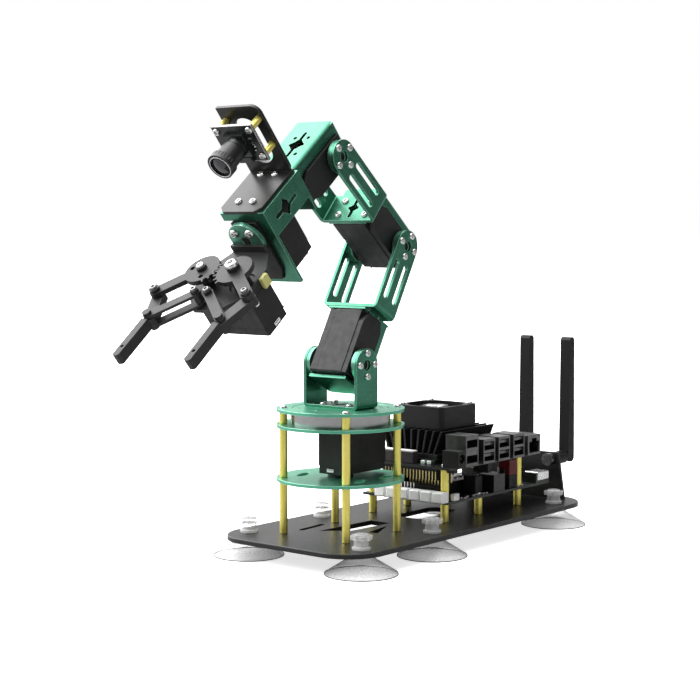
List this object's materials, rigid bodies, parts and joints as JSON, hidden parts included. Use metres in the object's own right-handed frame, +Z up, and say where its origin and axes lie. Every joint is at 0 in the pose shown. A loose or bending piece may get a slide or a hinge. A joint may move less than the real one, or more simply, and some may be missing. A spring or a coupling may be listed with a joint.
{
  "type": "desktop robot arm",
  "caption": "Servo-driven desktop robot arm with a turntable tower, folded metal links, a camera and a parallel gripper on a suction-cup plate that carries its controller boards.",
  "frame": {"origin": "centre of the bounding box footprint, on the plane the suction cups stand on", "axes": "+Z up, +X the way the arm reaches, +Y to the arm's left side where the data ports face"},
  "size_m": [0.3825, 0.1346, 0.2736],
  "materials": {
    "black_plate": "satin",
    "clear_rubber": "satin",
    "clear_plastic": "gloss",
    "brass": "satin",
    "green_anodised": "anodised satin",
    "bearing_steel": "turned",
    "servo_black": "fine grain",
    "screw_steel": "polished",
    "circuit_board": "gloss",
    "socket_white": "satin",
    "heat_sink_dark": "anodised satin",
    "fan_black": "satin",
    "port_steel": "plated",
    "connector_black": "satin",
    "antenna_black": "satin",
    "turntable_aluminium": "turned",
    "horn_aluminium": "turned",
    "lens_black": "satin",
    "gripper_black": "anodised satin"
  },
  "bodies": {
    "base": {"base_plate": "black_plate", "suction_cups": "clear_rubber", "cup_knobs": "clear_plastic", "tower_pillars": "brass", "lower_shelf": "green_anodised", "middle_disc": "green_anodised", "top_disc": "green_anodised", "bearing_outer_race": "bearing_steel", "base_servo": "servo_black", "base_screws": "screw_steel", "driver_board": "circuit_board", "servo_sockets": "socket_white", "short_standoffs": "brass", "tall_spacers": "brass", "computer_board": "circuit_board", "heat_sink": "heat_sink_dark", "fan_frame": "fan_black", "usb_ports": "port_steel", "network_port": "port_steel", "display_port": "port_steel", "power_jack": "connector_black", "antenna_bracket": "black_plate", "antenna_jacks": "brass"},
    "fan": {"fan_rotor": "fan_black"},
    "left_antenna_base": {"left_antenna_elbow": "antenna_black"},
    "left_antenna": {"left_antenna_whip": "antenna_black"},
    "right_antenna_base": {"right_antenna_elbow": "antenna_black"},
    "right_antenna": {"right_antenna_whip": "antenna_black"},
    "yaw_table": {"turntable": "turntable_aluminium", "shoulder_bracket": "green_anodised", "shoulder_horns": "horn_aluminium", "shoulder_screws": "screw_steel"},
    "upper_arm": {"shoulder_servo": "servo_black", "shoulder_servo_bracket": "green_anodised", "upper_arm_bracket": "green_anodised", "elbow_horns": "horn_aluminium", "upper_arm_screws": "screw_steel"},
    "forearm": {"elbow_servo": "servo_black", "elbow_servo_bracket": "green_anodised", "forearm_bracket": "green_anodised", "wrist_horns": "horn_aluminium", "forearm_screws": "screw_steel"},
    "wrist": {"wrist_servo": "servo_black", "wrist_servo_bracket": "green_anodised", "roll_servo": "servo_black", "roll_servo_bracket": "green_anodised", "camera_plate": "black_plate", "camera_board": "circuit_board", "camera_standoffs": "brass", "wrist_screws": "screw_steel"},
    "focus_ring": {"camera_lens": "lens_black"},
    "gripper": {"roll_horn": "horn_aluminium", "gripper_frame": "gripper_black", "gripper_servo": "servo_black"},
    "right_gear_arm": {"drive_arm": "gripper_black"},
    "left_gear_arm": {"driven_arm": "gripper_black"},
    "right_links": {"drive_link": "gripper_black"},
    "left_links": {"driven_link": "gripper_black"},
    "right_jaw": {"right_finger": "gripper_black"},
    "left_jaw": {"left_finger": "gripper_black"}
  },
  "joints": [
    {"name": "turntable_yaw", "type": "hinge", "parent": "base", "child": "yaw_table", "pos_m": [0.0285, 0, 0.092], "axis": [0, 0, 1], "range_deg": [-120, 120]},
    {"name": "shoulder", "type": "hinge", "parent": "yaw_table", "child": "upper_arm", "pos_m": [0.0285, 0, 0.1202], "axis": [0, 1, 0], "range_deg": [-45, 30]},
    {"name": "elbow", "type": "hinge", "parent": "upper_arm", "child": "forearm", "pos_m": [-0.0123, 0, 0.19231], "axis": [0, 1, 0], "range_deg": [-100, 11]},
    {"name": "wrist_pitch", "type": "hinge", "parent": "forearm", "child": "wrist", "pos_m": [0.05061, 0, 0.24623], "axis": [0, 1, 0], "range_deg": [-110, 9]},
    {"name": "gripper_roll", "type": "hinge", "parent": "wrist", "child": "gripper", "pos_m": [0.09862, 0, 0.20855], "axis": [0.766, 0, -0.6428], "range_deg": [-120, 120]},
    {"name": "gripper_drive", "type": "hinge", "parent": "gripper", "child": "right_gear_arm", "pos_m": [0.13629, 0.0125, 0.17955], "axis": [0.6428, 0, 0.766], "range_deg": [-51, 6]},
    {"name": "gripper_driven", "type": "hinge", "parent": "gripper", "child": "left_gear_arm", "pos_m": [0.13629, -0.0125, 0.17955], "axis": [0.6428, 0, 0.766], "range_deg": [-6, 51]},
    {"name": "right_link", "type": "hinge", "parent": "gripper", "child": "right_links", "pos_m": [0.1479, 0.005, 0.16459], "axis": [0.6428, 0, 0.766], "range_deg": [-51, 6]},
    {"name": "left_link", "type": "hinge", "parent": "gripper", "child": "left_links", "pos_m": [0.1479, -0.005, 0.16459], "axis": [0.6428, 0, 0.766], "range_deg": [-6, 51]},
    {"name": "right_finger_pivot", "type": "hinge", "parent": "right_gear_arm", "child": "right_jaw", "pos_m": [0.14865, 0.03531, 0.16396], "axis": [0.6428, 0, 0.766], "range_deg": [-6, 51]},
    {"name": "left_finger_pivot", "type": "hinge", "parent": "left_gear_arm", "child": "left_jaw", "pos_m": [0.14865, -0.03531, 0.16396], "axis": [0.6428, 0, 0.766], "range_deg": [-51, 6]},
    {"name": "lens_focus", "type": "hinge", "parent": "wrist", "child": "focus_ring", "pos_m": [0.12743, 0, 0.24443], "axis": [0.766, 0, -0.6428], "range_deg": [-170, 170]},
    {"name": "fan_spin", "type": "hinge", "parent": "base", "child": "fan", "pos_m": [-0.0715, 0, 0.08], "axis": [0, 0, 1], "continuous": true},
    {"name": "left_antenna_swivel", "type": "hinge", "parent": "base", "child": "left_antenna_base", "pos_m": [-0.1765, -0.003, 0.042], "axis": [1, 0, 0], "range_deg": [-12, 90]},
    {"name": "left_antenna_fold", "type": "hinge", "parent": "left_antenna_base", "child": "left_antenna", "pos_m": [-0.1875, -0.003, 0.042], "axis": [0, 1, 0], "range_deg": [-90, 0]},
    {"name": "right_antenna_swivel", "type": "hinge", "parent": "base", "child": "right_antenna_base", "pos_m": [-0.1765, 0.031, 0.042], "axis": [1, 0, 0], "range_deg": [-90, 12]},
    {"name": "right_antenna_fold", "type": "hinge", "parent": "right_antenna_base", "child": "right_antenna", "pos_m": [-0.1875, 0.031, 0.042], "axis": [0, 1, 0], "range_deg": [-90, 0]}
  ],
  "couplings": [
    {"joint": "gripper_driven", "follows": "gripper_drive", "ratio": -1},
    {"joint": "right_link", "follows": "gripper_drive", "ratio": 1},
    {"joint": "left_link", "follows": "gripper_drive", "ratio": -1},
    {"joint": "right_finger_pivot", "follows": "gripper_drive", "ratio": -1},
    {"joint": "left_finger_pivot", "follows": "gripper_drive", "ratio": 1}
  ]
}
